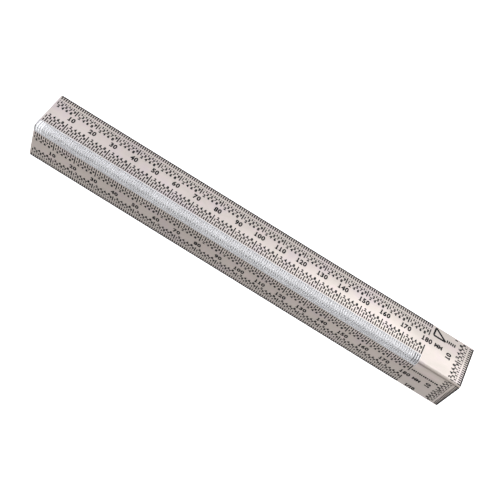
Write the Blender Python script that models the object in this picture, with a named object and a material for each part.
"""Right-angle marking rule: one stainless sheet folded to 90 degrees, with a slot at every millimetre
across the fold.

The rule lies as a tent: the fold is on top, along X, and the two free edges stand on the ground.
The zero end is at -X. The origin is at the middle of the footprint, on the ground.
The sheet is given as its two leaves, each with its half of the fold, which meet along the crest.
"""
import math

import bmesh
import bpy
from mathutils import Matrix

# Driving dimensions, in metres. A reach or a width on a leaf is measured on the outside of the sheet,
# from the sharp corner that the two outer faces would make if the fold had no radius.
LENGTH = 0.200            # zero end to far end
LEAF_WIDTH = 0.020        # sharp corner to free edge
SHEET = 0.0008            # thickness of the stainless sheet
FOLD_RADIUS = 0.0012      # outside radius of the fold
CORNER_RADIUS = 0.0006    # at the four free corners
SCALE_MARKS = 180         # millimetre marks, and slots, counted from the zero end
PITCH = 0.001             # from one mark to the next
SLOT_WIDTH = 0.00055      # lets a 0.5 mm lead through
SLOT_REACH = 0.0038       # how far a slot runs down each leaf
SEAM = 0.0003             # gap between the two leaves along the crest of the fold
CUT_MARGIN = 0.001        # how far a slot cutter stands clear of the sheet

# Fineness of the round parts, and the limits under which points are one and faces are flat.
OUTER_BEND_STEPS = 2
INNER_BEND_STEPS = 1
CORNER_STEPS = 5
WELD_DISTANCE = 1e-6
FLAT_ANGLE = math.radians(0.5)

# Looks of the steel: the same sheet, lit from the +Y side.
LEFT_LEAF_COLOR = (0.78, 0.75, 0.72)
RIGHT_LEAF_COLOR = (0.60, 0.57, 0.54)
STEEL_ROUGHNESS = 0.35

# Worked out from them.
LEAF_SLOPE = math.radians(45)
QUARTER_TURN = math.radians(90)
COS = math.cos(LEAF_SLOPE)
CORNER_HEIGHT = (LEAF_WIDTH + SHEET) * COS
BEND_HEIGHT = CORNER_HEIGHT - FOLD_RADIUS / COS
ZERO_X = -LENGTH / 2

LEFT = 1                  # the leaf on the +Y side
RIGHT = -1                # the leaf on the -Y side


def clear_scene():
    for item in list(bpy.data.objects):
        bpy.data.objects.remove(item, do_unlink=True)


def new_collection(name):
    collection = bpy.data.collections.new(name)
    bpy.context.scene.collection.children.link(collection)
    return collection


def steel(name, color):
    material = bpy.data.materials.new(name)
    material.use_nodes = True
    shader = material.node_tree.nodes["Principled BSDF"]
    shader.inputs["Base Color"].default_value = (*color, 1.0)
    shader.inputs["Metallic"].default_value = 1.0
    shader.inputs["Roughness"].default_value = STEEL_ROUGHNESS
    return material


def prism_along_x(name, points, length):
    """A solid with the given cross-section in Y and Z, along X, as a welded mesh object."""
    curve = bpy.data.curves.new(name, "CURVE")
    curve.dimensions = "2D"
    curve.fill_mode = "BOTH"
    curve.extrude = length / 2
    spline = curve.splines.new("POLY")
    spline.points.add(len(points) - 1)
    for spline_point, (y, z) in zip(spline.points, points):
        spline_point.co = (y, z, 0, 1)
    spline.use_cyclic_u = True
    outline = bpy.data.objects.new(name + "_outline", curve)
    bpy.context.scene.collection.objects.link(outline)
    depsgraph = bpy.context.evaluated_depsgraph_get()
    mesh = bpy.data.meshes.new_from_object(outline.evaluated_get(depsgraph))
    bpy.data.objects.remove(outline, do_unlink=True)
    upright = Matrix.Rotation(QUARTER_TURN, 4, "X")
    mesh.transform(Matrix.Rotation(QUARTER_TURN, 4, "Z") @ upright)
    body = bmesh.new()
    body.from_mesh(mesh)
    bmesh.ops.remove_doubles(body, verts=body.verts, dist=WELD_DISTANCE)
    bmesh.ops.dissolve_limit(body, angle_limit=FLAT_ANGLE, verts=body.verts, edges=body.edges)
    bmesh.ops.recalc_face_normals(body, faces=body.faces)
    body.to_mesh(mesh)
    body.free()
    mesh.name = name
    return bpy.data.objects.new(name, mesh)


def bend(side, radius, start, end, steps):
    """Points of the cross-section round the fold, with the angles in radians up from the ground."""
    angles = [start + (end - start) * step / steps for step in range(steps + 1)]
    return [(side * radius * math.cos(a), BEND_HEIGHT + radius * math.sin(a)) for a in angles]


def across(side, reach, depth):
    """The point of the cross-section that is reach down a leaf and depth under its outer face."""
    y = side * (reach - depth) * COS
    z = CORNER_HEIGHT - (reach + depth) * COS
    return (y, z)


def leaf_section(side):
    """Cross-section of a leaf: from the crest down its outer face, and back up its inner face."""
    inner_radius = FOLD_RADIUS - SHEET
    outer_crest = math.acos(SEAM / 2 / FOLD_RADIUS)
    inner_crest = math.acos(SEAM / 2 / inner_radius)
    outside = bend(side, FOLD_RADIUS, outer_crest, LEAF_SLOPE, OUTER_BEND_STEPS)
    inside = bend(side, inner_radius, LEAF_SLOPE, inner_crest, INNER_BEND_STEPS)
    free_edge = [across(side, LEAF_WIDTH, 0), across(side, LEAF_WIDTH, SHEET)]
    return outside + free_edge + inside


def slot_section():
    """Cross-section of a slot cutter: a chevron over both leaves, with its ends square to the sheet."""
    over = -CUT_MARGIN
    under = SHEET + CUT_MARGIN
    return [
        across(LEFT, SLOT_REACH, over),
        across(LEFT, over, over),
        across(RIGHT, SLOT_REACH, over),
        across(RIGHT, SLOT_REACH, under),
        across(LEFT, under, under),
        across(LEFT, SLOT_REACH, under),
    ]


def slot_cutters(collection):
    """All the slots as one cutter, a chevron prism at each millimetre of the scale."""
    prism = prism_along_x("slot_cutter", slot_section(), SLOT_WIDTH)
    row = bmesh.new()
    for mark in range(1, SCALE_MARKS + 1):
        first_new = len(row.verts)
        row.from_mesh(prism.data)
        row.verts.ensure_lookup_table()
        bmesh.ops.translate(row, verts=row.verts[first_new:], vec=(ZERO_X + mark * PITCH, 0, 0))
    row.to_mesh(prism.data)
    row.free()
    prism.hide_render = True
    prism.display_type = "WIRE"
    collection.objects.link(prism)
    return prism


def round_free_corners(plate):
    """Round the two corners at the ends of the free edge, the only short edges near the ground."""
    body = bmesh.new()
    body.from_mesh(plate.data)
    edge_top = SHEET * COS + WELD_DISTANCE
    corners = [
        edge for edge in body.edges
        if edge.calc_length() < LEAF_WIDTH and max(vert.co.z for vert in edge.verts) < edge_top
    ]
    bmesh.ops.bevel(
        body, geom=corners, offset=CORNER_RADIUS, segments=CORNER_STEPS, profile=0.5, affect="EDGES"
    )
    body.to_mesh(plate.data)
    body.free()


def leaf(name, side, color, slots, collection):
    """One leaf with its half of the fold, and its half of every slot."""
    plate = prism_along_x(name, leaf_section(side), LENGTH)
    round_free_corners(plate)
    plate.data.materials.append(steel(name + "_steel", color))
    collection.objects.link(plate)
    cut = plate.modifiers.new("slots", "BOOLEAN")
    cut.operation = "DIFFERENCE"
    cut.solver = "EXACT"
    cut.object = slots


def main():
    clear_scene()
    rule = new_collection("right_angle_marking_rule")
    slots = slot_cutters(new_collection("cutters"))
    leaf("left_leaf", LEFT, LEFT_LEAF_COLOR, slots, rule)
    leaf("right_leaf", RIGHT, RIGHT_LEAF_COLOR, slots, rule)


main()
